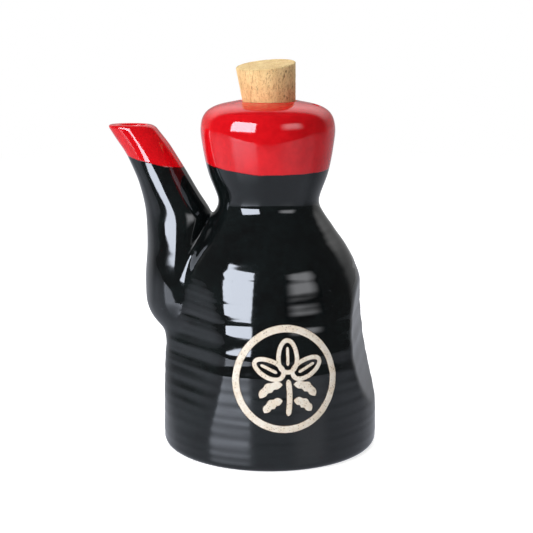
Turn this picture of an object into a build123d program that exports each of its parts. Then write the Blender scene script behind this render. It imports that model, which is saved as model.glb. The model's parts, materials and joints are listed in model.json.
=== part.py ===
from build123d import *
import os
from math import cos, radians, sin

# A hand-thrown soy sauce cruet: a hollow glazed pot with a side spout, and its cork.
# Lengths are in millimetres and angles in degrees. +Z is up, the spout points along -X,
# and the origin is the centre of the base.

# The thrown body: a wide belly, a narrow waist and a round head, all turned about Z.
belly_radius = 35.0
foot_round = 2.3
waist_height = 80.0
waist_radius = 16.3
head_rise = 24.0  # from the waist up to the widest part of the head
head_radius = 21.5
dome_rise = 8.4  # from the widest part of the head up to the top of its dome
body_wall = 3.8
floor_thickness = 4.0

# Three dents pressed into the belly: a tall flat one each side of the spout, and a short round one
# opposite it.
flat_dent_headings = (134.0, 226.0)
flat_dent_height = 35.5
flat_dent_sink = 4.6  # how far the middle of a dent lies inside the belly radius
flat_dent_lean = 7.6  # how far a dent leans in toward the waist
flat_dent_hollow_radius = 210.0
round_dent_heading = -1.5
round_dent_height = 43.0
round_dent_sink = 6.5
round_dent_hollow_radius = 65.0
dent_block_width = 44.0

# The spout: an upright round root on the shoulder that bends outward and narrows.
root_sink = 4.3  # how far the root's centre line lies inside the belly radius
root_drop = 32.4  # from the waist down to the middle of the root
root_radius = 10.2
root_fillet = 2.5
bend_radius = 7.8
mouth_reach = 9.3  # how far the mouth's centre line lies outside the belly radius
mouth_rise = 23.8  # from the waist up to the level mouth
mouth_radius = 5.9
mouth_lean = 36.0
mouth_trim = 6.0  # the length of tube above the mouth that is cut away
spout_wall = 2.7
lip_round = 0.8

# The tapered cork, which leans in the filler hole.
cork_top_radius = 9.5
cork_bottom_radius = 7.15
cork_length = 25.4
cork_proud = 11.0  # how much of the cork stands above the top of the dome
cork_edge_round = 0.5
cork_lean = 8.9
cork_lean_heading = 240.0
hole_offset = 0.4  # the filler hole lies this far off the axis, away from the spout
seat_clearance = 0.15

# The small air hole in the dome, opposite the spout.
air_hole_radius = 1.3
air_hole_reach = 15.0

root_height = waist_height - root_drop
head_height = waist_height + head_rise
dome_height = head_height + dome_rise
mouth_height = waist_height + mouth_rise


def body_outline(inset, bottom):
    """Points up the body's outline from its foot to its dome, with its walls moved in by inset."""
    belly = belly_radius - inset
    waist = waist_radius - inset
    head = head_radius - inset
    widest = head_height - inset / 2
    dome = dome_height - inset
    # Each pair is a share of the way up to the waist, and a share of the way in to it.
    shoulder_course = ((0.20, 0.01), (0.40, 0.05), (0.55, 0.16), (0.70, 0.305), (0.85, 0.63), (0.95, 0.93))
    shoulder = [(belly - way_in * (belly - waist), bottom + way_up * (waist_height - bottom))
                for way_up, way_in in shoulder_course]
    # Each pair is a share of the way up to the widest part of the head, and of the way out to it.
    neck_course = ((0.34, 0.50), (0.67, 0.84))
    neck = [(waist + way_out * (head - waist), waist_height + way_up * (widest - waist_height))
            for way_up, way_out in neck_course]
    dome_edge = (0.89 * head, widest + 0.56 * (dome - widest))
    return belly, shoulder, (waist, waist_height), neck, (head, widest), dome_edge, (0, dome)


def outer_form():
    """The outside of the thrown body as a solid, smooth from foot to dome."""
    belly, shoulder, waist, neck, head, dome_edge, dome = body_outline(0, 0)
    up = (0, 1)
    with BuildPart() as form:
        with BuildSketch(Plane.XZ):
            with BuildLine():
                Line((0, 0), (belly - foot_round, 0))
                RadiusArc((belly - foot_round, 0), (belly, foot_round), -foot_round)
                Spline((belly, foot_round), *shoulder, waist, tangents=(up, up))
                Spline(waist, *neck, head, tangents=(up, up))
                Spline(head, dome_edge, dome, tangents=(up, (-1, 0)))
                Line(dome, (0, 0))
            make_face()
        revolve(axis=Axis.Z, clean=False)
    return form.part


def hollow_form():
    """The hollow inside the body, in straight runs between points that lie the wall's width inside."""
    belly, shoulder, waist, neck, head, dome_edge, dome = body_outline(body_wall, floor_thickness)
    with BuildPart() as form:
        with BuildSketch(Plane.XZ):
            with BuildLine():
                Polyline((0, floor_thickness), (belly, floor_thickness), *shoulder, waist, *neck, head,
                         dome_edge, dome, close=True)
            make_face()
        revolve(axis=Axis.Z, clean=False)
    return form.part


def dent_block(heading, height, sink, lean, hollow_radius, inset):
    """The round block that presses one dent in, moved inward by inset."""
    reach = belly_radius - sink + hollow_radius * cos(radians(lean))
    middle = height + hollow_radius * sin(radians(lean))
    block = Pos(reach, 0, middle) * Rot(90, 0, 0) * Cylinder(hollow_radius + inset, dent_block_width)
    return Rot(0, 0, heading) * block


def press_dents(form, inset):
    """The body's form with its three dents pressed in."""
    for heading in flat_dent_headings:
        form -= dent_block(heading, flat_dent_height, flat_dent_sink, flat_dent_lean, flat_dent_hollow_radius, inset)
    form -= dent_block(round_dent_heading, round_dent_height, round_dent_sink, 0, round_dent_hollow_radius, inset)
    return form


def spout_tube(inset):
    """The spout as a solid tube with its radii less inset, from its round root past its mouth."""
    root = belly_radius - root_sink
    mouth = belly_radius + mouth_reach
    outward = (-sin(radians(mouth_lean)), 0, cos(radians(mouth_lean)))
    course = Spline(
        (-root, 0, root_height),
        (-root + 0.4, 0, root_height + 0.7 * (waist_height - root_height)),
        (-root - 0.36 * (mouth - root), 0, waist_height + 0.4 * mouth_rise),
        (-mouth + mouth_trim * outward[0], 0, mouth_height + mouth_trim * outward[2]),
        tangents=((0, 0, 1), outward),
    )
    # Each pair is a share of the course, and the outer radius there.
    radii = ((0.0, root_radius), (0.18, root_radius), (0.36, root_radius),
             (0.50, 0.2 * bend_radius + 0.8 * root_radius), (0.64, bend_radius),
             (0.80, 0.5 * bend_radius + 0.5 * mouth_radius), (1.0, mouth_radius - 0.3))
    rings = [Plane(course @ share, z_dir=course % share) * Circle(radius - inset) for share, radius in radii]
    return loft(rings) + Pos(course @ 0) * Sphere(root_radius - inset)


def leaning_cork(grow):
    """The cork where it sits in the filler hole, with its sides and ends moved out by grow."""
    taper = (cork_top_radius - cork_bottom_radius) / cork_length
    cone = Cone(cork_bottom_radius + grow - taper * grow, cork_top_radius + grow + taper * grow,
                cork_length + 2 * grow, align=(Align.CENTER, Align.CENTER, Align.MIN))
    lean = Rot(0, 0, cork_lean_heading) * Rot(0, cork_lean, 0)
    return Pos(hole_offset, 0, dome_height) * lean * Pos(0, 0, cork_proud - cork_length - grow) * cone


def air_hole():
    """The drill for the air hole, which reaches through the dome only."""
    return Pos(air_hole_reach, 0, dome_height) * Cylinder(air_hole_radius, 4 * body_wall)


def ceramic_body():
    """The glazed pot in one piece: hollow, with its spout, filler hole and air hole open."""
    pot = press_dents(outer_form(), 0)
    above_mouth = Pos(0, 0, mouth_height) * Box(4 * mouth_height, 4 * mouth_height, 2 * mouth_trim + 20,
                                                align=(Align.CENTER, Align.CENTER, Align.MIN))
    spout = spout_tube(0) - above_mouth
    joined = pot + spout
    joined = fillet(new_edges(pot, spout, combined=joined), root_fillet)
    joined -= press_dents(hollow_form(), body_wall)
    joined -= spout_tube(spout_wall)
    joined -= leaning_cork(seat_clearance)
    joined -= air_hole()
    lip = joined.edges().filter_by_position(Axis.Z, mouth_height - 0.01, mouth_height + 0.01)
    return fillet(lip, lip_round)


def cork():
    """The solid cork with its two worn edges."""
    plug = leaning_cork(0)
    return fillet(plug.edges().filter_by(GeomType.CIRCLE), cork_edge_round)


os.makedirs("parts", exist_ok=True)
export_step(ceramic_body(), "parts/ceramic_body.step")
export_step(cork(), "parts/cork.step")
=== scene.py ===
import json
from math import cos, pi, radians, sin, tan

import bpy
import numpy as np
from mathutils import Matrix, Vector

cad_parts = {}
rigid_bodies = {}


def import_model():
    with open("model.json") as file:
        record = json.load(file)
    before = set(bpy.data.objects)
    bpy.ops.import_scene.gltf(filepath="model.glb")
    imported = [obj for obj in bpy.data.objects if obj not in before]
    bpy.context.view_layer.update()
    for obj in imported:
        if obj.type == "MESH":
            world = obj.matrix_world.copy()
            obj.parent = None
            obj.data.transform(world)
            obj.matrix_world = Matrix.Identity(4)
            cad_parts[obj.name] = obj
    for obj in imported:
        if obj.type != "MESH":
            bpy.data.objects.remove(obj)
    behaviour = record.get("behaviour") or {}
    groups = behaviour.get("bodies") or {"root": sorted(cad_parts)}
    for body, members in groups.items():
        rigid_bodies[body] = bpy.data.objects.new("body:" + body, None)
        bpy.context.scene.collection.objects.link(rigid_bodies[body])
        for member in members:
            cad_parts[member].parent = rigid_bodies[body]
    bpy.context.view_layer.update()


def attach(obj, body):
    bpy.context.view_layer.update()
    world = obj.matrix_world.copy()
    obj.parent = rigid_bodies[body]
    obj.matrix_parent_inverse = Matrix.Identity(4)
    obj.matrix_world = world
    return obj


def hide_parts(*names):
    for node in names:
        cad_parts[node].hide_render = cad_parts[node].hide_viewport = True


for leftover in list(bpy.data.objects):
    bpy.data.objects.remove(leftover)
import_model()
scene = bpy.context.scene
scene.view_settings.view_transform = "Standard"
print("frame loaded")

# The pieces are laid out in millimetres and scaled to metres when their meshes are made.
# Materials and the studio are in metres.
millimetre = 0.001


def naturalSpline(x, y):
    # Cubic pieces through (x, y) with no bend at the two ends; returns a function of x.
    x, y = np.asarray(x, float), np.asarray(y, float)
    step = np.diff(x)
    rise = np.diff(y) / step
    count = len(x)
    system = np.zeros((count, count))
    bend = np.zeros(count)
    system[0, 0] = system[-1, -1] = 1
    inner = np.arange(1, count - 1)
    system[inner, inner - 1] = step[:-1]
    system[inner, inner] = 2 * (step[:-1] + step[1:])
    system[inner, inner + 1] = step[1:]
    bend[1:-1] = 3 * (rise[1:] - rise[:-1])
    second = np.linalg.solve(system, bend)

    def curve(at):
        piece = np.clip(np.searchsorted(x, at) - 1, 0, count - 2)
        along = at - x[piece]
        slope = rise[piece] - step[piece] * (2 * second[piece] + second[piece + 1]) / 3
        cubic = (second[piece + 1] - second[piece]) / (3 * step[piece])
        return y[piece] + along * (slope + along * (second[piece] + along * cubic))

    return curve


def smoothLess(a, b, width):
    # The lesser of a and b, rounded off by a cubic where they differ by less than width.
    near = np.maximum(width - np.abs(a - b), 0) / width
    return np.minimum(a, b) - near ** 3 * width / 6


def smoothStep(low, high, value):
    # 0 below low, 1 above high, and 3t^2 - 2t^3 between.
    t = np.clip((value - low) / (high - low), 0, 1)
    return t * t * (3 - 2 * t)


def gridFaces(rows, columns):
    # Four-cornered faces of a grid whose last column meets its first.
    row, column = np.meshgrid(np.arange(rows - 1), np.arange(columns), indexing="ij")
    after = (column + 1) % columns
    return np.stack([row * columns + column, row * columns + after,
                     (row + 1) * columns + after, (row + 1) * columns + column], -1).reshape(-1, 4)


def makeObject(name, points, quads, triangles=(), attributes=None):
    # Millimetre points and their faces become a smooth-shaded object at the origin.
    mesh = bpy.data.meshes.new(name)
    faces = np.asarray(quads).tolist() + np.asarray(triangles, int).reshape(-1, 3).tolist()
    mesh.from_pydata((np.asarray(points) * millimetre).tolist(), [], faces)
    mesh.shade_smooth()
    for label, values in (attributes or {}).items():
        mesh.attributes.new(label, "FLOAT", "POINT").data.foreach_set("value", np.asarray(values, np.float32))
    item = bpy.data.objects.new(name, mesh)
    scene.collection.objects.link(item)
    return item


def closedRound(name, grid, lowPole, highPole, attributes=None):
    # A grid of rows (rows, columns, 3) wound round an axis, closed by a point at each end.
    rows, columns = grid.shape[:2]
    points = np.concatenate([grid.reshape(-1, 3), [lowPole], [highPole]])
    here = np.arange(columns)
    after = (here + 1) % columns
    last = (rows - 1) * columns
    low = np.stack([after, here, np.full(columns, rows * columns)], -1)
    high = np.stack([last + here, last + after, np.full(columns, rows * columns + 1)], -1)
    return makeObject(name, points, gridFaces(rows, columns), np.concatenate([low, high]), attributes)


def combine(target, tool, operation):
    # Adds or cuts away the tool from the target for good, and removes the tool.
    modifier = target.modifiers.new("combine", "BOOLEAN")
    modifier.operation = operation
    modifier.solver = "MANIFOLD"
    modifier.object = tool
    graph = bpy.context.evaluated_depsgraph_get()
    mesh = bpy.data.meshes.new_from_object(target.evaluated_get(graph))
    target.modifiers.clear()
    target.data = mesh
    bpy.data.objects.remove(tool)


def around(columns):
    return np.linspace(0, 2 * pi, columns, endpoint=False)


pot = {
    "columns": 240,
    "rowSpacing": 0.62,
    "footRound": 2.3,
    # radius and height of points up the outside, from the top of the foot's rounding to the hole's rim
    "outline": (
        (35.0, 2.3), (35.15, 4.5), (35.1, 8), (35.0, 12), (34.95, 16), (34.85, 20), (34.7, 24), (34.5, 28),
        (34.2, 32), (33.65, 36), (33.0, 40), (32.1, 44), (31.25, 48), (30.25, 52), (29.25, 56), (27.8, 60),
        (25.85, 64), (23.25, 68), (20.45, 72), (17.75, 76), (16.95, 77.35), (16.45, 78.6), (16.27, 80.2),
        (16.65, 82), (17.45, 84.2), (18.9, 88), (19.95, 92), (20.7, 96), (21.2, 99.4), (21.5, 102.4),
        (21.3, 104.8), (20.7, 106.8), (19.5, 108.5), (17.6, 109.8), (14.8, 110.8), (11.9, 111.4),
        (9.9, 111.8),
    ),
    "headTop": 106.0,  # above this the head rounds over into its dome
    # dents: heading, least reach from the axis and its height, upright radius, and softness of the edge
    "dents": (
        (134.0, 28.56, 63.3, 210.0, 2.8),
        (226.0, 28.56, 63.3, 210.0, 2.8),
        (-1.5, 28.5, 43.0, 65.0, 1.3),
    ),
    "wall": 3.8,
    "floorThickness": 4.0,
    "hollowTop": 103.0,  # where the hollow starts to round over
    "hollowDome": 5.2,  # and how far it rises from there
    "rimRound": 1.0,
    "pocketDepth": 7.0,  # how deep the filler hole goes round the cork
    "pocketTaper": 0.09,
    # throwing rings: height, how far it stands out, and half width; a negative one is a groove
    "rings": (
        (4.6, 0.06, 1.2), (8.1, 0.07, 1.2), (11.6, 0.08, 1.2), (15.1, 0.08, 1.3), (18.6, 0.1, 1.3),
        (22.2, 0.12, 1.4), (26.0, 0.16, 1.6), (30.0, 0.22, 1.9), (36.2, 0.24, 2.0), (42.3, 0.14, 2.1),
        (45.2, -0.09, 0.8), (48.4, 0.05, 2.1), (54.4, 0.05, 2.1), (59.2, -0.10, 0.8), (61.0, 0.06, 2.1),
        (66.6, 0.10, 2.1), (72.0, 0.10, 1.9),
    ),
    "ringWave": 0.35,  # how far a ring rises and falls on its way round
    "ringUneven": 0.35,  # the share by which it swells and fades
    "ringSink": 0.12,  # how far the wall moves in to make room for the rings
    "ripple": 0.011,  # fine turning lines
    "ripplePitch": 2.1,
    "ringsFrom": (2, 4),  # dents and rings fade in above the foot
    "ringsTo": (72, 77),  # and out below the neck
    "drift": 0.73,  # how far the top stands off the axis, toward the spout
    "driftFrom": 35,
    "driftTo": 112,
}

corkShape = {
    "topRadius": 9.5,
    "bottomRadius": 7.15,
    "length": 25.4,
    "edgeRound": 0.55,
    "proud": 11.0,  # how much of it stands above the dome
    "lean": 8.9,
    "leanHeading": 240.0,
    "offset": 0.4,
    "domeHeight": 112.4,
    "swell": 0.05,  # how far the sides wander in and out
    "seed": 5,
    "pits": 860,
    "topPits": 70,
    "lowestPit": 12,
    "pitSize": (0.11, 0.24),
    "pitDepth": (0.1, 0.22),  # for a pit of the typical size, and in proportion for others
    "typicalPit": 0.28,
    "pitStretch": 0.6,  # pits are drawn out along the cork by one over this
    "pitSide": -0.45,  # pits gather round this heading, away from the spout
    "pitSpread": 0.5,
    "sideShare": 0.72,  # the share of the pits that gather there
    "bigShare": 0.04,
    "bigger": 1.6,
}

outlineR, outlineZ = np.array(pot["outline"]).T
outlineRun = np.concatenate([[0], np.cumsum(np.hypot(np.diff(outlineR), np.diff(outlineZ)))])
outlineRadius = naturalSpline(outlineRun, outlineR)
outlineHeight = naturalSpline(outlineRun, outlineZ)
fineRun = np.linspace(0, outlineRun[-1], 6000)
fineR, fineZ = outlineRadius(fineRun), outlineHeight(fineRun)


def plainRadius(z):
    # The outline's radius at a height, below the head's rounding-over.
    wall = fineZ < pot["headTop"]
    return np.interp(z, fineZ[wall], fineR[wall])


def pressDents(theta, z, radius, inset):
    # Each dent is an arc in height, with its reach divided by the cosine of the angle from its middle.
    for heading, reach, height, bend, edge in pot["dents"]:
        middle = reach - inset + bend - np.sqrt(np.maximum(bend ** 2 - (z - height) ** 2, 0))
        turnedAway = np.maximum(np.cos(theta - radians(heading)), 0.3)  # kept well above zero on the far side
        radius = smoothLess(radius, middle / turnedAway, edge)
    return radius


def ringRelief(theta, z):
    # The sum of one low bump per ring, each bell-shaped in height and wandering a little on its way round.
    relief = 0 * z
    for number, (height, out, half) in enumerate(pot["rings"]):
        turns = np.sin(theta + 1.7 * number) + 0.6 * np.sin(2 * theta + 2.9 * number * number)
        wave = pot["ringWave"] * turns
        uneven = 1 + pot["ringUneven"] * np.sin(theta * 3 + 4.1 * number) * np.sin(theta + number)
        relief = relief + out * uneven * np.exp(-((z - height - wave) / half) ** 2)
    slow = np.sin(2 * theta + 0.21 * z) + np.sin(3 * theta - 0.13 * z + 1)
    return relief + pot["ripple"] * np.sin(2 * pi * z / pot["ripplePitch"] + slow) * (1 + 0.5 * slow)


def bodyRadius(theta, z, radius):
    # The plain radius, pressed in by the dents and swollen by the rings; foot, neck and head stay plain.
    worked = pressDents(theta, z, radius, 0) + ringRelief(theta, z) - pot["ringSink"]
    share = smoothStep(*pot["ringsFrom"], z) * (1 - smoothStep(*pot["ringsTo"], z))
    return radius + (worked - radius) * share


def driftAt(z):
    # The thrown pot isn't quite true: above the belly it drifts a little toward the spout.
    return pot["drift"] * smoothStep(pot["driftFrom"], pot["driftTo"], z)


def leanOver(points):
    # Points moved by the drift at their heights.
    moved = np.array(points, float)
    moved[..., 0] -= driftAt(moved[..., 2])
    return moved


def corkAxis(z):
    # The middle of the leaning cork at each height.
    drift = (z - corkShape["domeHeight"]) * tan(radians(corkShape["lean"]))
    heading = radians(corkShape["leanHeading"])
    return corkShape["offset"] + drift * cos(heading), drift * sin(heading)


def potOutside():
    # Rows of (radius, height) up the outline, carried round the axis, then down into the filler hole.
    theta = around(pot["columns"])
    foot = pot["footRound"]
    turn = np.linspace(0, pi / 2, 8)[:-1]
    footRadius = outlineR[0] - foot
    underside = np.linspace(4, footRadius - 1, 8)
    baseR = np.concatenate([underside, footRadius + foot * np.sin(turn)])
    baseZ = np.concatenate([0 * underside, foot * (1 - np.cos(turn))])
    run = np.linspace(0, outlineRun[-1], int(outlineRun[-1] / pot["rowSpacing"]))
    rowR = np.concatenate([baseR, outlineRadius(run)])[:, None] + 0 * theta
    rowZ = np.concatenate([baseZ, outlineHeight(run)])[:, None] + 0 * theta
    radius = bodyRadius(theta, rowZ, rowR)
    grid = np.stack([radius * np.cos(theta), radius * np.sin(theta), rowZ], -1)

    # the hole's rows slide across from the pot's axis to the leaning cork's
    rim = pot["rimRound"]
    topRadius, topHeight = outlineR[-1], outlineZ[-1]
    bend = np.linspace(0, pi / 2, 7)[1:]
    holeZ = np.concatenate([topHeight - rim * (1 - np.cos(bend)),
                            np.linspace(topHeight - rim, topHeight - pot["pocketDepth"], 8)[1:]])
    holeR = np.concatenate([topRadius - rim * np.sin(bend), np.full(7, topRadius - rim)])
    holeR = holeR - pot["pocketTaper"] * (topHeight - holeZ)
    middleX, middleY = corkAxis(holeZ)
    share = smoothStep(0, 5, np.arange(len(holeZ)))
    hole = np.stack([holeR[:, None] * np.cos(theta) + (middleX * share)[:, None],
                     holeR[:, None] * np.sin(theta) + (middleY * share)[:, None],
                     holeZ[:, None] + 0 * theta], -1)
    grid = np.concatenate([grid, hole])
    return closedRound("pot_body", leanOver(grid), (0, 0, 0), leanOver([middleX[-1], middleY[-1], holeZ[-1]]))


def potHollow():
    # The outline moved in by the wall, from the floor up, closed by a quarter of an ellipse under the dome.
    theta = around(96)
    height = np.linspace(pot["floorThickness"], pot["hollowTop"], 70)
    radius = plainRadius(height) - pot["wall"]
    bend = np.linspace(0, 1.4, 8)[1:]
    rowR = np.concatenate([[8, 18], radius, radius[-1] * np.cos(bend)])
    rowZ = np.concatenate([[height[0]] * 2, height, pot["hollowTop"] + pot["hollowDome"] * np.sin(bend)])
    rowZ = rowZ[:, None] + 0 * theta
    rowR = pressDents(theta, rowZ, rowR[:, None] + 0 * theta, pot["wall"])
    grid = np.stack([rowR * np.cos(theta), rowR * np.sin(theta), rowZ], -1)
    return closedRound("hollow", leanOver(grid), (0, 0, height[0]), leanOver([0, 0, rowZ[-1, 0] + 0.1]))


spout = {
    # height, and where the outer and inner outlines lie along X there
    "outer": (
        (48.5, -41.3), (54, -41.3), (58.4, -41.0), (62.5, -40.6), (67.5, -40.4), (71.5, -40.4), (77.5, -40.8),
        (80.4, -41.3), (83.4, -42.0), (86.3, -42.85), (89.2, -44.0), (92.2, -45.3), (95.1, -46.8),
        (98.9, -49.4), (102.6, -51.8), (104.5, -53.0),
    ),
    "inner": (
        (48.5, -20.7), (58, -20.4), (66, -19.7), (72, -19.0), (75.8, -19.1), (78.6, -20.6), (80.8, -22.1),
        (83.7, -23.9), (86.6, -25.6), (89.5, -27.3), (92.4, -29.1), (95.3, -30.9), (98.2, -32.8),
        (100.1, -34.3), (103.1, -36.7), (104.5, -37.9),
    ),
    # height, and half the width from front to back there
    "halfWidth": (
        (48.5, 15.3), (56, 15.2), (62, 14.4), (68, 13.4), (74, 12.2), (80, 10.85), (86, 9.3), (91, 7.95),
        (95, 7.15), (99, 6.6), (104.5, 6.0),
    ),
    "swing": 2.0,  # how far the front of the root's sections leans toward the body
    "swingFades": (62, 98),  # and the heights between which that fades out
    "rootHeight": 48.5,
    "rootDrop": 12.0,  # how far the rounded root reaches down
    "mouthHeight": 103.8,
    "lipRound": 1.45,
    "lipRise": 1.2,
    "columns": 96,
    "pocketBottom": 88.0,  # how deep the bore goes before the one from inside meets it
    "blendLow": 6.5,  # how widely the root melts into the body at its foot
    "blendHigh": 3.0,  # and in the fork
    "blendFrom": 46,
    "blendTo": 68,
}
spoutOuter = naturalSpline(*np.array(spout["outer"]).T)
spoutInner = naturalSpline(*np.array(spout["inner"]).T)
spoutHalf = naturalSpline(*np.array(spout["halfWidth"]).T)


def spoutSection(z):
    # Middle, half length, half width and swing of the level ellipse at a height.
    outer, inner = spoutOuter(z), spoutInner(z)
    swing = spout["swing"] * (1 - smoothStep(*spout["swingFades"], z))
    return (outer + inner) / 2, (inner - outer) / 2, spoutHalf(z), swing


def ellipseRows(z, inset, theta):
    # Level ellipses at heights z, made smaller by inset and swung by a shear.
    middle, halfLength, halfWidth, swing = (value[:, None] for value in spoutSection(z))
    inset = np.broadcast_to(inset, len(z))[:, None]
    return np.stack([middle + (halfLength - inset) * np.cos(theta) - swing * np.sin(theta),
                     (halfWidth - inset * halfWidth / halfLength) * np.sin(theta),
                     z[:, None] + 0 * theta], -1)


def roundedRoot(inset, theta):
    # The lower half of an ellipsoid under the lowest section; its first row lies just off the pole.
    sink = np.linspace(0.12, pi / 2, 14)[:-1, None]
    middle, halfLength, halfWidth, swing = spoutSection(np.array([spout["rootHeight"]]))
    drop = spout["rootDrop"] - inset
    rows = np.stack([middle + np.sin(sink) * ((halfLength - inset) * np.cos(theta) - swing * np.sin(theta)),
                     (halfWidth - inset) * np.sin(sink) * np.sin(theta),
                     spout["rootHeight"] - drop * np.cos(sink) + 0 * theta], -1)
    return rows, (middle[0], 0, spout["rootHeight"] - drop)


def spoutOutside():
    # Rounded root, level ellipses up to the lip, over the lip and down into the bore.
    theta = around(spout["columns"])
    root, pole = roundedRoot(0, theta)
    lipBase = spout["mouthHeight"] - spout["lipRise"]
    z = np.linspace(spout["rootHeight"], lipBase, 76)
    bend = np.linspace(0, pi, 13)[1:]
    lipZ = lipBase + spout["lipRise"] * np.sin(bend)
    lip = ellipseRows(lipZ, spout["lipRound"] * (1 - np.cos(bend)), theta)
    bore = ellipseRows(np.linspace(lipBase, spout["pocketBottom"], 16)[1:], 2 * spout["lipRound"], theta)
    grid = np.concatenate([root, ellipseRows(z, 0, theta), lip, bore])
    return closedRound("spout", leanOver(grid), leanOver(pole), leanOver(grid[-1].mean(0)))


def spoutBore():
    # The bore from inside the belly up into the pocket below the lip, a hair smaller than the pocket.
    theta = around(64)
    inset = 2 * spout["lipRound"] + 0.02
    root, pole = roundedRoot(inset, theta)
    z = np.linspace(spout["rootHeight"], spout["pocketBottom"] + 3, 30)
    grid = np.concatenate([root, ellipseRows(z, inset, theta)])
    return closedRound("bore", leanOver(grid), leanOver(pole), leanOver(grid[-1].mean(0)))


def bodyField(points):
    # Roughly the distance outside the body: (radius - R) / sqrt(1 + slope^2).
    theta = np.arctan2(points[:, 1], points[:, 0])
    radius = np.hypot(points[:, 0], points[:, 1])
    z = points[:, 2]
    reach = 0.25

    def surface(height):
        return bodyRadius(theta, height, plainRadius(height))

    slope = (surface(z + reach) - surface(z - reach)) / (2 * reach)
    return (radius - surface(z)) / np.sqrt(1 + slope ** 2)


def spoutField(points):
    # Roughly the distance outside the spout: (q^2 - 1) / (2 |grad q|), q from its ellipses and rounded root.
    x, y, z = points.T
    middle, halfLength, halfWidth, swing = spoutSection(np.maximum(z, spout["rootHeight"]))
    below = np.minimum(z - spout["rootHeight"], 0) / spout["rootDrop"]
    qy = y / halfWidth
    qx = (x - middle + swing * qy) / halfLength
    square = qx ** 2 + qy ** 2 + below ** 2
    steep = np.sqrt((qx / halfLength) ** 2 + (qx * swing / (halfLength * halfWidth) + qy / halfWidth) ** 2
                    + (below / spout["rootDrop"]) ** 2)
    return (square - 1) / (2 * np.maximum(steep, 0.02))


def blendWidth(z):
    risen = smoothStep(spout["blendFrom"], spout["blendTo"], z)
    return spout["blendLow"] + (spout["blendHigh"] - spout["blendLow"]) * risen


def joinedField(points):
    return smoothLess(bodyField(points), spoutField(points), blendWidth(points[:, 2]))


def fieldGradient(points):
    # Central differences of the joined field.
    reach = 0.06
    offsets = np.eye(3) * reach
    return np.stack([(joinedField(points + offset) - joinedField(points - offset)) / (2 * reach)
                     for offset in offsets], -1)


seam = {
    "reach": 1.2,  # how far from the joint vertices move, in blend widths
    "inside": -1.5,  # the least and most that a vertex may lie off the joined surface
    "outside": 0.3,
    "innermost": -10,  # the X and heights between which the joint lies
    "bottom": 25,
    "top": 92,
    "passes": 5,
}


def meltSeam(item):
    # Vertices near the joint of spout and body slide onto the joined field's zero, and take its normals.
    mesh = item.data
    points = np.zeros(len(mesh.vertices) * 3)
    mesh.vertices.foreach_get("co", points)
    points = points.reshape(-1, 3) / millimetre
    upright = points.copy()
    upright[:, 0] += driftAt(points[:, 2])
    body, tube = bodyField(upright), spoutField(upright)
    width = blendWidth(upright[:, 2])
    value = smoothLess(body, tube, width)
    near = (value > seam["inside"]) & (value < seam["outside"])
    near &= np.abs(body - tube) < width * seam["reach"]
    x, z = points[:, 0], points[:, 2]
    near &= (x < seam["innermost"]) & (z > seam["bottom"]) & (z < seam["top"])
    joint = upright[near]
    for _ in range(seam["passes"]):
        gradient = fieldGradient(joint)
        steep = np.maximum((gradient ** 2).sum(1), 0.2)
        joint = joint - (joinedField(joint) / steep)[:, None] * gradient
    points[near] = leanOver(joint)
    mesh.vertices.foreach_set("co", (points * millimetre).ravel())
    mesh.update()
    mesh.shade_smooth()
    normals = np.zeros(len(mesh.vertices) * 3, np.float32)
    mesh.vertices.foreach_get("normal", normals)
    normals = normals.reshape(-1, 3)
    gradient = fieldGradient(joint)
    normals[near] = gradient / np.linalg.norm(gradient, axis=1)[:, None]
    mesh.normals_split_custom_set_from_vertices(normals.tolist())
    print("seam vertices", int(near.sum()), "of", len(points))


airHole = {
    "reach": 15.4,
    "radius": 1.4,
    "flare": 0.85,
    "tilt": 19.0,  # the dome's slope there
    "depth": 7.0,
}


def airHoleTool():
    # A thin round rod that flares at the dome's surface, square to the dome.
    theta = around(32)
    flare = airHole["flare"]
    bend = np.linspace(0, pi / 2, 7)
    height = np.concatenate([[-airHole["depth"], -3], -flare + flare * np.sin(bend), [1.5]])
    radius = np.concatenate([[airHole["radius"]] * 2, airHole["radius"] + flare * (1 - np.cos(bend)),
                             [airHole["radius"] + 2.2 * flare]])
    tilt = radians(airHole["tilt"])
    sideways = radius[:, None] * np.cos(theta)
    dome = fineZ > pot["headTop"]
    surface = np.interp(airHole["reach"], fineR[dome][::-1], fineZ[dome][::-1])
    grid = np.stack([airHole["reach"] + sideways * cos(tilt) + height[:, None] * sin(tilt),
                     radius[:, None] * np.sin(theta),
                     surface - sideways * sin(tilt) + height[:, None] * cos(tilt)], -1)
    return closedRound("air_hole_tool", leanOver(grid), leanOver(grid[0].mean(0)), leanOver(grid[-1].mean(0)))


potObject = potOutside()
combine(potObject, spoutOutside(), "UNION")
combine(potObject, potHollow(), "DIFFERENCE")
combine(potObject, spoutBore(), "DIFFERENCE")
combine(potObject, airHoleTool(), "DIFFERENCE")
meltSeam(potObject)
print("pot made", len(potObject.data.polygons))


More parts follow.
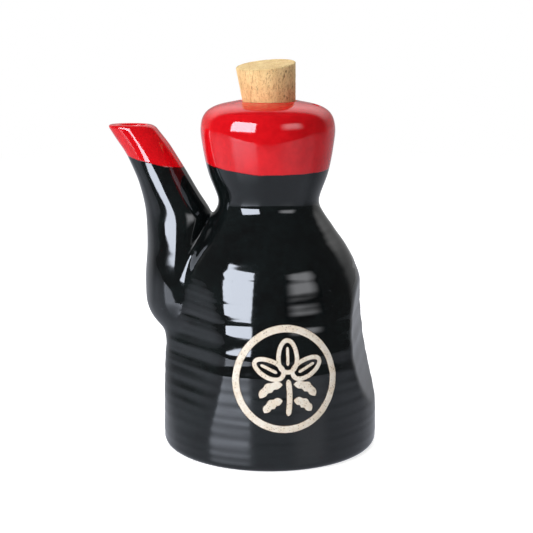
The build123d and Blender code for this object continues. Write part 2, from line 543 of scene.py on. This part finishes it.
def corkPiece():
    # A tapered plug: end discs, rounded edges and a side, with random pits pushed into it, then leaned over.
    random = np.random.default_rng(corkShape["seed"])
    theta = around(168)
    edge = corkShape["edgeRound"]
    bend = np.linspace(0, pi / 2, 6)[1:-1]
    top, bottom, length = corkShape["topRadius"], corkShape["bottomRadius"], corkShape["length"]
    sideZ = np.linspace(edge, length - edge, 88)
    sideR = bottom + (top - bottom) * sideZ / length
    discs = np.linspace(0.04, 1, 26)
    underside = discs[::3]
    rowR = np.concatenate([underside * (bottom - edge), bottom - edge + edge * np.sin(bend), sideR,
                           top - edge + edge * np.cos(bend), (discs * (top - edge))[::-1]])[:, None]
    rowZ = np.concatenate([0 * underside, edge - edge * np.cos(bend), sideZ,
                           length - edge + edge * np.sin(bend), 0 * discs + length])[:, None]
    grid = np.stack([rowR * np.cos(theta), rowR * np.sin(theta), rowZ + 0 * theta], -1)
    points = grid.reshape(-1, 3)
    outward = np.gradient(grid, axis=0)
    turned = np.roll(grid, -1, axis=1) - np.roll(grid, 1, axis=1)
    normal = np.cross(turned, outward).reshape(-1, 3)
    normal /= np.maximum(np.linalg.norm(normal, axis=1), 1e-9)[:, None]

    # most pits gather on one side, and the first few lie on the top
    count = corkShape["pits"]
    heading = np.where(random.uniform(0, 1, count) < corkShape["sideShare"],
                       random.normal(corkShape["pitSide"], corkShape["pitSpread"], count),
                       random.uniform(0, 2 * pi, count))
    height = random.uniform(corkShape["lowestPit"], length, count)
    onTop = np.arange(count) < corkShape["topPits"]
    fromMiddle = top * np.sqrt(random.uniform(0, 1, count))
    reach = np.where(onTop, fromMiddle, bottom + (top - bottom) * height / length)
    height = np.where(onTop, length, height)
    heading = heading - radians(corkShape["leanHeading"])
    centres = np.stack([reach * np.cos(heading), reach * np.sin(heading), height], -1)
    size = random.uniform(*corkShape["pitSize"], count)
    size = size * np.where(random.uniform(0, 1, count) > 1 - corkShape["bigShare"], corkShape["bigger"], 1)
    depth = random.uniform(*corkShape["pitDepth"], count) * size / corkShape["typicalPit"]
    pit = np.zeros(len(points))
    for centre, half, deep in zip(centres, size, depth):
        away = points - centre
        away[:, 2] *= corkShape["pitStretch"]
        pit = np.maximum(pit, deep * np.exp(-(away ** 2).sum(1) / half ** 2))
    x, y, z = points.T
    wave = corkShape["swell"] * np.sin(x * 1.9 + 1) * np.sin(y * 1.7) * np.sin(z * 1.3 + 2)
    points = points - normal * (pit - wave)[:, None]

    lean, turn = radians(corkShape["lean"]), radians(corkShape["leanHeading"])
    tilted = np.array([[cos(lean), 0, sin(lean)], [0, 1, 0], [-sin(lean), 0, cos(lean)]])
    swung = np.array([[cos(turn), -sin(turn), 0], [sin(turn), cos(turn), 0], [0, 0, 1]])
    place = swung @ tilted
    start = np.array([corkShape["offset"], 0, corkShape["domeHeight"]])
    drop = corkShape["proud"] - length

    def placed(local):
        return leanOver(start + (np.asarray(local) + [0, 0, drop]) @ place.T)

    return closedRound("cork_stopper", placed(points).reshape(grid.shape),
                       placed([0, 0, 0]), placed([0, 0, length]), {"pit": np.concatenate([pit, [0, 0]])})


corkObject = corkPiece()
print("cork made")


mark = {
    "heading": -73.9,
    "height": 29.6,
    "wrapRadius": 34.3,
    "ringMiddle": 15.5,
    "ringHalf": 1.2,
    "proud": 0.07,  # how far a stroke's crown stands out
    "bevel": 0.04,  # how far its edges lie under the glaze
    "sunk": 0.35,  # and its underside
    "rimWidth": 0.28,  # how wide its darker rim is
    # leaves: base, tip and half width
    "leaves": (
        ((0.6, 2.4), (0.6, 12.0), 2.9),
        ((-1.0, 1.4), (-9.6, 5.6), 2.5),
        ((2.2, 1.4), (10.8, 5.6), 2.5),
    ),
    "leafHalf": 0.78,  # half the width of a leaf's outline
    "veinHalf": 0.56,
    "veinEnds": (0.2, 0.8),
    "stem": ((0.6, 0.2), (0.6, -11.3), 0.04),  # base, tip and bow
    "stemHalf": 0.95,
    # pods to the right of the stem, mirrored to its left: start, end and bow from the stem's line
    "pods": (((1.7, -1.4), (8.6, -5.6), 0.16), ((1.7, -6.4), (7.2, -10.2), 0.14)),
    "podHalf": (0.35, 1.35),  # half the width at a pod's ends, and what its middle adds
}


def wrapOnPot(across, up, out):
    # Flat places (across, up) bend round the belly, and stand out from it by out.
    theta = radians(mark["heading"]) + across / mark["wrapRadius"]
    z = mark["height"] + up
    radius = bodyRadius(theta, z, plainRadius(z)) + out
    return np.stack([radius * np.cos(theta), radius * np.sin(theta), z], -1)


def stroke(path, half, closed):
    # A cross-section carried along a path: a low crown above, and a flat underside sunk in the glaze.
    path = np.asarray(path, float)
    if closed:
        along = np.roll(path, -1, axis=0) - np.roll(path, 1, axis=0)
    else:
        along = np.gradient(path, axis=0)
    along /= np.linalg.norm(along, axis=1)[:, None]
    side = np.stack([along[:, 1], -along[:, 0]], -1)
    span = np.array([-1, -0.93, -0.75, -0.4, 0, 0.4, 0.75, 0.93, 1, 0.9, 0, -0.9])
    crown = mark["proud"] * np.sqrt(np.maximum(1 - span ** 4, 0)) * np.array([1] * 9 + [0] * 3)
    out = crown - np.array([mark["bevel"]] + [0] * 7 + [mark["bevel"]] + [mark["sunk"]] * 3)
    half = np.broadcast_to(half, len(path))[:, None]
    flat = path[:, None, :] + side[:, None, :] * (span * half)[..., None]
    grid = wrapOnPot(flat[..., 0], flat[..., 1], out + 0 * half)
    edge = np.clip(1 - (1 - np.abs(span)) * half / mark["rimWidth"], 0, 1)
    return grid, edge, closed


def bent(base, tip, bow):
    # A parabola from base to tip that bows sideways.
    share = np.linspace(0, 1, 40)[:, None]
    base, tip = np.array(base, float), np.array(tip, float)
    sideways = np.array([-(tip - base)[1], (tip - base)[0]])
    return base + (tip - base) * share + sideways * bow * 4 * share * (1 - share)


def leaf(base, tip, width):
    # A closed outline, fuller toward its base: as a goes round, its share of the way to the tip is
    # t = (1 - cos a) / 2, and its half width is width |sin a|^0.9 (1.12 - 0.24 t).
    turn = around(240)
    share = (1 - np.cos(turn)) / 2
    base, tip = np.array(base, float), np.array(tip, float)
    axis = tip - base
    sideways = np.array([-axis[1], axis[0]]) / np.linalg.norm(axis)
    swell = np.sign(np.sin(turn)) * np.abs(np.sin(turn)) ** 0.9 * (1.12 - 0.24 * share) * width
    return base + axis * share[:, None] + sideways * swell[:, None]


def roundEnded(path, half):
    # An open stroke with rounded ends: half width = half sqrt(1 - (1 - t/e)^2) over each end's stretch e.
    share = np.linspace(0, 1, len(path))
    near = np.clip(np.minimum(share, 1 - share) / 0.14, 0.02, 1)
    return stroke(path, half * np.sqrt(1 - (1 - near) ** 2), False)


def pod(start, end, bow):
    # An open stroke with three swellings along it, like beans in a pod.
    path = bent(start, end, bow)
    share = np.linspace(0, 1, len(path))
    least, more = mark["podHalf"]
    swell = least + more * np.sin(pi * share) ** 0.5 * (0.86 + 0.14 * np.cos(6 * pi * share + pi))
    ends = np.clip(np.minimum(share, 1 - share) / 0.06, 0.05, 1) ** 0.5
    return stroke(path, swell * ends, False)


def markPiece():
    # A ring round a sprig of three leaves, a stem and four pods, joined in one mesh.
    turn = around(240)
    ring = np.stack([np.cos(turn), np.sin(turn)], -1) * mark["ringMiddle"]
    strokes = [stroke(ring, mark["ringHalf"], True)]
    for base, tip, width in mark["leaves"]:
        strokes.append(stroke(leaf(base, tip, width), mark["leafHalf"], True))
        base, along = np.array(base), np.array(tip) - base
        low, high = (base + along * share for share in mark["veinEnds"])
        strokes.append(roundEnded(bent(low, high, 0.0), mark["veinHalf"]))
    strokes.append(roundEnded(bent(*mark["stem"]), mark["stemHalf"]))
    stemX = mark["stem"][0][0]
    for side in (-1, 1):
        for *ends, bow in mark["pods"]:
            start, end = ((stemX + side * across, up) for across, up in ends)
            strokes.append(pod(start, end, side * bow))

    points, quads, triangles, edges = [], [], [], []
    offset = 0
    for grid, edge, closed in strokes:
        rows, columns = grid.shape[:2]
        faces = gridFaces(rows, columns)
        if closed:
            here = np.arange(columns)
            after = (here + 1) % columns
            last = (rows - 1) * columns
            faces = np.concatenate([faces, np.stack([last + here, last + after, after, here], -1)])
        else:
            here = np.arange(1, columns - 1)
            last = (rows - 1) * columns
            first = np.stack([0 * here, here + 1, here], -1)
            final = np.stack([last + 0 * here, last + here, last + here + 1], -1)
            triangles += [first + offset, final + offset]
        points.append(grid.reshape(-1, 3))
        quads.append(faces + offset)
        edges.append(edge.ravel())
        offset += rows * columns
    return makeObject("ring_mark", leanOver(np.concatenate(points)), np.concatenate(quads),
                      np.concatenate(triangles), {"rim": np.concatenate(edges)})


markObject = markPiece()
print("mark made")


def addNode(tree, kind, inputs=None, **settings):
    # One node with its settings, and its inputs linked or set.
    item = tree.nodes.new("ShaderNode" + kind)
    for key, value in settings.items():
        setattr(item, key, value)
    for key, value in (inputs or {}).items():
        if isinstance(value, bpy.types.NodeSocket):
            tree.links.new(value, item.inputs[key])
        else:
            item.inputs[key].default_value = value
    return item


def newGroup(name, inputs, outputs):
    # An empty node group with named sockets.
    group = bpy.data.node_groups.new(name, "ShaderNodeTree")
    for label, kind, value in inputs:
        socket = group.interface.new_socket(label, in_out="INPUT", socket_type="NodeSocket" + kind)
        if value is not None:
            socket.default_value = value
    for label, kind in outputs:
        group.interface.new_socket(label, in_out="OUTPUT", socket_type="NodeSocket" + kind)
    return group, group.nodes.new("NodeGroupInput").outputs, group.nodes.new("NodeGroupOutput").inputs


def calculate(tree, operation, a, b=0.0, c=0.0):
    return addNode(tree, "Math", {0: a, 1: b, 2: c}, operation=operation).outputs[0]


def mixColour(tree, share, a, b):
    item = addNode(tree, "Mix", {"Factor": share}, data_type="RGBA")
    for key, value in ((6, a), (7, b)):
        if isinstance(value, bpy.types.NodeSocket):
            tree.links.new(value, item.inputs[key])
        else:
            item.inputs[key].default_value = value
    return item.outputs[2]


def ramp(tree, value, low, high):
    # 0 at low, 1 at high, smooth between.
    return addNode(tree, "MapRange", {"Value": value, "From Min": low, "From Max": high},
                   interpolation_type="SMOOTHSTEP").outputs["Result"]


def noise(tree, place, scale, detail=2.0, roughness=0.5):
    return addNode(tree, "TexNoise", {"Vector": place, "Scale": scale, "Detail": detail,
                                      "Roughness": roughness}).outputs[0]


def mottleGroup():
    # Cloudy patches with fine grain over them, and scattered specks: both as 0 to 1 masks.
    inputs = (("Place", "Vector", None), ("Patch Scale", "Float", 60.0), ("Grain Scale", "Float", 900.0),
              ("Speck Scale", "Float", 500.0), ("Speck Size", "Float", 0.12))
    group, given, out = newGroup("mottle", inputs, (("Patches", "Float"), ("Specks", "Float")))
    broad = noise(group, given["Place"], given["Patch Scale"], 3.0)
    fine = noise(group, given["Place"], given["Grain Scale"], 2.0)
    both = calculate(group, "MULTIPLY_ADD", fine, 0.4, calculate(group, "MULTIPLY", broad, 0.6))
    group.links.new(ramp(group, both, 0.36, 0.64), out["Patches"])
    cells = addNode(group, "TexVoronoi", {"Vector": given["Place"], "Scale": given["Speck Scale"]})
    rare = noise(group, given["Place"], given["Patch Scale"], 1.0)
    size = calculate(group, "MULTIPLY", given["Speck Size"], rare)
    speck = calculate(group, "LESS_THAN", cells.outputs["Distance"], size)
    group.links.new(speck, out["Specks"])
    return group


mottle = mottleGroup()


def placeMottle(tree, place, finish):
    # The mottle with a finish's own scales: patches, grain, specks, and the specks' size.
    labels = ("Patch Scale", "Grain Scale", "Speck Scale", "Speck Size")
    inputs = {"Place": place, **dict(zip(labels, finish["mottle"]))}
    return addNode(tree, "Group", inputs, node_tree=mottle).outputs


def newMaterial(name, record):
    # A plain shader with its constants set, and the place that patterns are laid out by.
    material = bpy.data.materials.new(name)
    material.use_nodes = True
    tree = material.node_tree
    shader = tree.nodes["Principled BSDF"]
    for key, value in record.items():
        shader.inputs[key].default_value = value
    place = addNode(tree, "TexCoord").outputs["Object"]
    return material, tree, shader, place


def roughenNormal(tree, shader, height):
    # Bumps in the shading from a height over the surface, in metres.
    bump = addNode(tree, "Bump", {"Height": height, "Distance": 1.0, "Strength": 1.0})
    tree.links.new(bump.outputs[0], shader.inputs["Normal"])


glaze = {
    "black": (0.0035, 0.0042, 0.0046, 1),
    "blackPatch": (0.0055, 0.008, 0.0085, 1),
    "red": (0.80, 0.006, 0.012, 1),
    "redPatch": (0.67, 0.003, 0.008, 1),
    # in metres, as Object coordinates are: where the red meets the black on the axis, and how that line runs
    "dipHeight": 0.0904,
    "dipTilt": -0.044,
    "dipBow": 3.1,
    "spoutDipHeight": 0.0843,
    "spoutDipTilt": -0.206,
    "spoutEnds": (-0.0275, -0.0225),  # the spout's line gives way to the head's between these
    "dipWave": 0.0012,
    "waveScale": 95.0,
    "dipEdge": 0.00022,
    "dipStep": 0.00006,  # the red lies over the black
    "finePeel": (260.0, 0.000022),  # scale and height of the orange peel
    "broadPeel": (75.0, 0.00011),
    "pinhole": -0.00003,
    "mottle": (70.0, 420.0, 260.0, 0.11),
    "roughness": 0.055,
    "patchRoughness": 0.03,
}


def glazeMaterial():
    material, tree, shader, place = newMaterial("dipped_glaze", {"IOR": 1.52})
    split = addNode(tree, "SeparateXYZ", {"Vector": place}).outputs
    # the dip line: height + tilt x + bow x^2 on the head and height + tilt x on the spout, with a slow wave
    bow = calculate(tree, "MULTIPLY", calculate(tree, "MULTIPLY", split["X"], split["X"]), glaze["dipBow"])
    headLine = calculate(tree, "MULTIPLY_ADD", split["X"], glaze["dipTilt"],
                         calculate(tree, "ADD", bow, glaze["dipHeight"]))
    spoutLine = calculate(tree, "MULTIPLY_ADD", split["X"], glaze["spoutDipTilt"], glaze["spoutDipHeight"])
    line = calculate(tree, "MULTIPLY_ADD", ramp(tree, split["X"], *glaze["spoutEnds"]),
                     calculate(tree, "SUBTRACT", headLine, spoutLine), spoutLine)
    wave = calculate(tree, "SUBTRACT", noise(tree, place, glaze["waveScale"]), 0.5)
    line = calculate(tree, "MULTIPLY_ADD", wave, glaze["dipWave"], line)
    above = calculate(tree, "SUBTRACT", split["Z"], line)
    isRed = ramp(tree, above, -glaze["dipEdge"], glaze["dipEdge"])
    parts = placeMottle(tree, place, glaze)
    black = mixColour(tree, parts["Patches"], glaze["black"], glaze["blackPatch"])
    red = mixColour(tree, parts["Patches"], glaze["red"], glaze["redPatch"])
    tree.links.new(mixColour(tree, isRed, black, red), shader.inputs["Base Color"])
    rough = calculate(tree, "MULTIPLY_ADD", parts["Patches"], glaze["patchRoughness"], glaze["roughness"])
    tree.links.new(rough, shader.inputs["Roughness"])
    # soft orange peel, a step where the red lies over the black, and rare pinholes
    (fineScale, fineHeight), (broadScale, broadHeight) = glaze["finePeel"], glaze["broadPeel"]
    broad = calculate(tree, "MULTIPLY", noise(tree, place, broadScale, 1.0), broadHeight)
    peel = calculate(tree, "MULTIPLY_ADD", noise(tree, place, fineScale, 1.0), fineHeight, broad)
    step = calculate(tree, "MULTIPLY_ADD", isRed, glaze["dipStep"], peel)
    roughenNormal(tree, shader, calculate(tree, "MULTIPLY_ADD", parts["Specks"], glaze["pinhole"], step))
    return material


corkFinish = {
    "light": (0.98, 0.76, 0.39, 1),
    "dark": (0.84, 0.57, 0.26, 1),
    "streak": (0.56, 0.32, 0.14, 1),
    "hollow": (0.27, 0.13, 0.055, 1),
    "mottle": (210.0, 1500.0, 1500.0, 0.42),
    "fibreLean": (0.13, 0.075, 0),
    "fibreStretch": (1, 1, 0.13),
    "fineFibres": 1900.0,
    "broadFibres": 520.0,
    "streakShare": 0.75,
    "speckShare": 0.6,
    "grooves": -0.00008,  # how deep the streaks are, and how high the patches, in metres
    "lumps": 0.00007,
}


def corkMaterial():
    material, tree, shader, place = newMaterial("cork_bark", {"Roughness": 0.85, "IOR": 1.45})
    # upright fibres: noise drawn out along the plug
    drawn = {"Vector": place, "Rotation": corkFinish["fibreLean"], "Scale": corkFinish["fibreStretch"]}
    fibres = addNode(tree, "Mapping", drawn).outputs[0]
    fine = noise(tree, fibres, corkFinish["fineFibres"], 3.0, 0.65)
    broad = noise(tree, fibres, corkFinish["broadFibres"])
    parts = placeMottle(tree, place, corkFinish)
    share = calculate(tree, "MULTIPLY_ADD", ramp(tree, broad, 0.35, 0.7), 0.5,
                      calculate(tree, "MULTIPLY", parts["Patches"], 0.5))
    colour = mixColour(tree, share, corkFinish["light"], corkFinish["dark"])
    streak = ramp(tree, fine, 0.50, 0.70)
    for mask, most in ((streak, "streakShare"), (parts["Specks"], "speckShare")):
        share = calculate(tree, "MULTIPLY", mask, corkFinish[most])
        colour = mixColour(tree, share, colour, corkFinish["streak"])
    pit = addNode(tree, "Attribute", attribute_name="pit").outputs["Fac"]
    colour = mixColour(tree, ramp(tree, pit, 0.03, 0.22), colour, corkFinish["hollow"])
    tree.links.new(colour, shader.inputs["Base Color"])
    lumps = calculate(tree, "MULTIPLY", parts["Patches"], corkFinish["lumps"])
    roughenNormal(tree, shader, calculate(tree, "MULTIPLY_ADD", streak, corkFinish["grooves"], lumps))
    return material


slip = {
    "cream": (0.96, 0.90, 0.81, 1),
    "shade": (0.86, 0.75, 0.61, 1),
    "rim": (0.17, 0.085, 0.035, 1),
    "mottle": (260.0, 1500.0, 1300.0, 0.42),
    "speckShare": 0.5,
    "raggedScale": 900.0,  # how finely the rim frays
    "lumps": 0.00004,
}


def slipMaterial():
    material, tree, shader, place = newMaterial("bare_slip", {"Roughness": 0.6, "IOR": 1.45})
    parts = placeMottle(tree, place, slip)
    colour = mixColour(tree, parts["Patches"], slip["cream"], slip["shade"])
    specks = calculate(tree, "MULTIPLY", parts["Specks"], slip["speckShare"])
    colour = mixColour(tree, specks, colour, slip["rim"])
    rim = addNode(tree, "Attribute", attribute_name="rim").outputs["Fac"]
    ragged = calculate(tree, "MULTIPLY_ADD", noise(tree, place, slip["raggedScale"]), 0.5, rim)
    colour = mixColour(tree, ramp(tree, ragged, 0.45, 1.15), colour, slip["rim"])
    tree.links.new(colour, shader.inputs["Base Color"])
    roughenNormal(tree, shader, calculate(tree, "MULTIPLY", parts["Patches"], slip["lumps"]))
    return material


potObject.data.materials.clear()
potObject.data.materials.append(glazeMaterial())
corkObject.data.materials.append(corkMaterial())
markObject.data.materials.append(slipMaterial())
print("materials made")

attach(potObject, "root")
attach(corkObject, "root")
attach(markObject, "root")
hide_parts("ceramic_body")
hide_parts("cork")


studio = {
    "roomLevel": 0.07,
    # the backdrop as the glaze mirrors it: levels near the table and high up, and where it climbs and starts
    "backdropLow": 0.28,
    "backdropHigh": 1.2,
    "backdropClimb": (0.15, 0.6),
    "backdropEdge": (0.35, 0.6),
    "floorColour": (0.80, 0.80, 0.80, 1),
    "floorGlow": 0.75,
    "farFloor": (0.3, 0.9),  # the distances between which the floor fades to white
    # the table as the glaze mirrors it: colour, sheen, and where it dims behind and lightens at the left
    "tableSeen": (0.53, 0.56, 0.64, 1),
    "tableSheen": 1.29,
    "sheenRoughness": 0.3,
    "tableBack": (-0.02, 0.06),
    "backDims": 0.45,
    "tableLeft": (-0.25, 0.0),
    "leftLightens": 0.45,
    "tableFront": 0.27,  # how far the table reaches toward the camera, away from it and to each side
    "tableDepth": 4.0,
    "tableHalf": 3.0,
    "white": (1, 1, 1, 1),
    "aimHeight": 0.05,  # the height that the lamps are set out from
    "cameraPlace": (0.0542, -0.3938, 0.1372),
    "cameraPitch": 11.261,
    "cameraHeading": 8.0,
    "lens": 83.92,
}


def floorMaterial():
    # The camera sees a white diffuse floor; glossy rays see a pale table with a satin sheen.
    material = bpy.data.materials.new("pale_floor")
    material.use_nodes = True
    tree = material.node_tree
    tree.nodes.clear()
    path = addNode(tree, "LightPath").outputs
    place = addNode(tree, "TexCoord").outputs["Object"]
    diffuse = addNode(tree, "BsdfDiffuse", {"Color": studio["floorColour"]}).outputs[0]
    seen = calculate(tree, "MAXIMUM", path["Is Camera Ray"], path["Is Transmission Ray"])
    glow = calculate(tree, "MULTIPLY", seen, studio["floorGlow"])
    light = addNode(tree, "Emission", {"Color": studio["white"], "Strength": glow}).outputs[0]
    near = addNode(tree, "AddShader", {0: diffuse, 1: light}).outputs[0]
    away = addNode(tree, "VectorMath", {0: place}, operation="LENGTH").outputs["Value"]
    white = addNode(tree, "Emission", {"Color": studio["white"], "Strength": 1.0}).outputs[0]
    far = calculate(tree, "MULTIPLY", ramp(tree, away, *studio["farFloor"]), path["Is Camera Ray"])
    plain = addNode(tree, "MixShader", {0: far, 1: near, 2: white}).outputs[0]
    split = addNode(tree, "SeparateXYZ", {"Vector": place}).outputs
    leftward = calculate(tree, "MULTIPLY_ADD", ramp(tree, split["X"], *studio["tableLeft"]),
                         -studio["leftLightens"], 1 + studio["leftLightens"])
    level = calculate(tree, "MULTIPLY_ADD", ramp(tree, split["Y"], *studio["tableBack"]),
                      -studio["backDims"], leftward)
    pale = addNode(tree, "Emission", {"Color": studio["tableSeen"], "Strength": level}).outputs[0]
    sheen = {"Color": studio["white"], "Roughness": studio["sheenRoughness"]}
    satin = addNode(tree, "BsdfGlossy", sheen).outputs[0]
    grazing = addNode(tree, "Fresnel", {"IOR": studio["tableSheen"]}).outputs[0]
    table = addNode(tree, "MixShader", {0: grazing, 1: pale, 2: satin}).outputs[0]
    floor = addNode(tree, "MixShader", {0: path["Is Glossy Ray"], 1: plain, 2: table}).outputs[0]
    output = addNode(tree, "OutputMaterial")
    tree.links.new(floor, output.inputs["Surface"])
    return material


def cardMaterial(name, colour, strength, soft):
    # A glowing panel that only glossy rays see, fading toward its edges by soft.
    material = bpy.data.materials.new(name)
    material.use_nodes = True
    tree = material.node_tree
    tree.nodes.clear()
    path = addNode(tree, "LightPath").outputs
    split = addNode(tree, "SeparateXYZ", {"Vector": addNode(tree, "UVMap").outputs[0]}).outputs
    level = None
    for axis in ("X", "Y"):
        fromMiddle = calculate(tree, "ABSOLUTE", calculate(tree, "SUBTRACT", split[axis], 0.5))
        side = calculate(tree, "SUBTRACT", 1.0, ramp(tree, fromMiddle, 0.5 - soft, 0.5))
        level = side if level is None else calculate(tree, "MULTIPLY", level, side)
    glow = calculate(tree, "MULTIPLY", level, strength)
    light = addNode(tree, "Emission", {"Color": colour, "Strength": glow}).outputs[0]
    clear = addNode(tree, "BsdfTransparent").outputs[0]
    shown = addNode(tree, "MixShader", {0: path["Is Glossy Ray"], 1: clear, 2: light}).outputs[0]
    output = addNode(tree, "OutputMaterial")
    tree.links.new(shown, output.inputs["Surface"])
    return material


def stagePlane(name, corners, material):
    mesh = bpy.data.meshes.new(name)
    mesh.from_pydata(corners, [], [(0, 1, 2, 3)])
    item = bpy.data.objects.new(name, mesh)
    scene.collection.objects.link(item)
    mesh.uv_layers.new(name="panel").data.foreach_set("uv", [0, 0, 1, 0, 1, 1, 0, 1])
    mesh.materials.append(material)


def addLamp(name, place, target, width, height, power):
    # A soft area lamp that the glaze doesn't mirror.
    lamp = bpy.data.lights.new(name, "AREA")
    lamp.shape = "RECTANGLE"
    lamp.size, lamp.size_y, lamp.energy = width, height, power
    item = bpy.data.objects.new(name, lamp)
    turn = (target - place).to_track_quat("-Z", "Y")
    item.matrix_world = Matrix.Translation(place) @ turn.to_matrix().to_4x4()
    item.visible_glossy = False
    scene.collection.objects.link(item)
    return item


def addSoftbox(name, heading, spread, low, high, distance, power, colour, shine, soft):
    # An upright lamp, spread degrees to each side of its heading (0 is the camera's, right is positive) and
    # between two elevations, with a panel of its size for how the glaze mirrors it.
    turn = radians(heading + studio["cameraHeading"])
    bottom, top = distance * tan(radians(low)), distance * tan(radians(high))
    place = Vector((distance * sin(turn), -distance * cos(turn), studio["aimHeight"] + (bottom + top) / 2))
    width, height = 2 * distance * tan(radians(spread)), top - bottom
    item = addLamp(name, place, Vector((0, 0, place.z)), width, height, power)
    corners = [item.matrix_world @ Vector((across * width / 2, up * height / 2, 0))
               for across, up in ((-1, -1), (1, -1), (1, 1), (-1, 1))]
    stagePlane(name + "_face", [tuple(corner) for corner in corners], cardMaterial(name, colour, shine, soft))


turned = Matrix.Rotation(radians(studio["cameraHeading"]), 4, "Z")
front, back, half = -studio["tableFront"], studio["tableDepth"], studio["tableHalf"]
stagePlane("floor", [tuple(turned @ Vector((x, y, 0))) for x, y in
                     ((-half, front), (half, front), (half, back), (-half, back))], floorMaterial())
addSoftbox("softbox_left", heading=-43, spread=22.5, low=6, high=38, distance=1.1, power=17,
           colour=(0.82, 0.88, 1.0, 1), shine=17.5, soft=0.03)
addSoftbox("softbox_right", heading=43, spread=25, low=9, high=36, distance=1.3, power=3,
           colour=(0.95, 0.96, 1.0, 1), shine=3.8, soft=0.38)
addLamp("overhead", place=Vector((-0.065, 0.459, 1.477)), target=Vector((0, 0, studio["aimHeight"])),
        width=1.2, height=1.0, power=9)

world = scene.world or bpy.data.worlds.new("studio_world")
scene.world = world
world.use_nodes = True
worldTree = world.node_tree
worldTree.nodes.clear()
worldPath = addNode(worldTree, "LightPath").outputs
direction = addNode(worldTree, "TexCoord").outputs["Generated"]
farSide = (-sin(radians(studio["cameraHeading"])), cos(radians(studio["cameraHeading"])), 0.0)
facing = addNode(worldTree, "VectorMath", {0: direction, 1: farSide}, operation="DOT_PRODUCT")
# the white backdrop fills the far side of the room
behind = ramp(worldTree, facing.outputs["Value"], *studio["backdropEdge"])
upward = addNode(worldTree, "SeparateXYZ", {"Vector": direction}).outputs["Z"]
risen = ramp(worldTree, upward, *studio["backdropClimb"])
backdropLevel = calculate(worldTree, "MULTIPLY_ADD", risen,
                          studio["backdropHigh"] - studio["backdropLow"], studio["backdropLow"])
seenLevel = calculate(worldTree, "MULTIPLY_ADD", behind, backdropLevel, studio["roomLevel"])
level = calculate(worldTree, "MULTIPLY_ADD", worldPath["Is Camera Ray"],
                  calculate(worldTree, "SUBTRACT", 1.0, seenLevel), seenLevel)
backdrop = addNode(worldTree, "Background", {"Color": studio["white"], "Strength": level})
worldOut = addNode(worldTree, "OutputWorld")
worldTree.links.new(backdrop.outputs[0], worldOut.inputs["Surface"])

cameraData = bpy.data.cameras.new("camera")
cameraData.lens = studio["lens"]
cameraData.sensor_width = 36
cameraData.clip_start, cameraData.clip_end = 0.01, 50
camera = bpy.data.objects.new("camera", cameraData)
camera.location = studio["cameraPlace"]
camera.rotation_euler = (radians(90 - studio["cameraPitch"]), 0, radians(studio["cameraHeading"]))
scene.collection.objects.link(camera)
scene.camera = camera
print("studio made")
